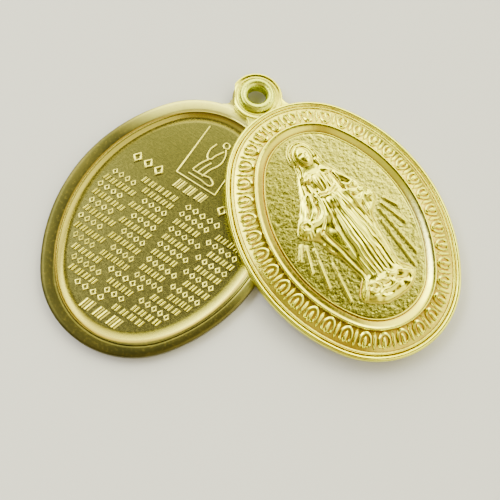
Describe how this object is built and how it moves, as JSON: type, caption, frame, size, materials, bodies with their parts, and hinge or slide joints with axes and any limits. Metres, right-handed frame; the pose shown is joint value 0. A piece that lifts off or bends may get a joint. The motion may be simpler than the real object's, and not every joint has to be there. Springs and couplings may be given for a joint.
{
  "type": "prayer locket",
  "caption": "Oval brass prayer locket: a shallow tray and a domed medal with a robed figure in relief swing apart on a hollow eyelet that takes a chain's ring.",
  "frame": {"origin": "middle of the eyelet's straight hole, 1.3 mm above the surface that the locket lies on", "axes": "+Z along the eyelet's axis, up and out of the leaves' faces. The leaves hang to either side of -Y, the back leaf towards -X and the front leaf towards +X."},
  "size_m": [0.0374, 0.0273, 0.0032],
  "materials": {
    "back_brass": "satin, with a polished cove",
    "front_brass": "polished relief on a grained field",
    "eyelet_brass": "polished"
  },
  "bodies": {
    "back": {"back_leaf": "back_brass", "eyelet": "eyelet_brass"},
    "front": {"front_leaf": "front_brass"}
  },
  "joints": [
    {"name": "leaf_swing", "type": "hinge", "parent": "back", "child": "front", "pos_m": [0, 0, 0], "axis": [0, 0, 1], "continuous": true}
  ]
}
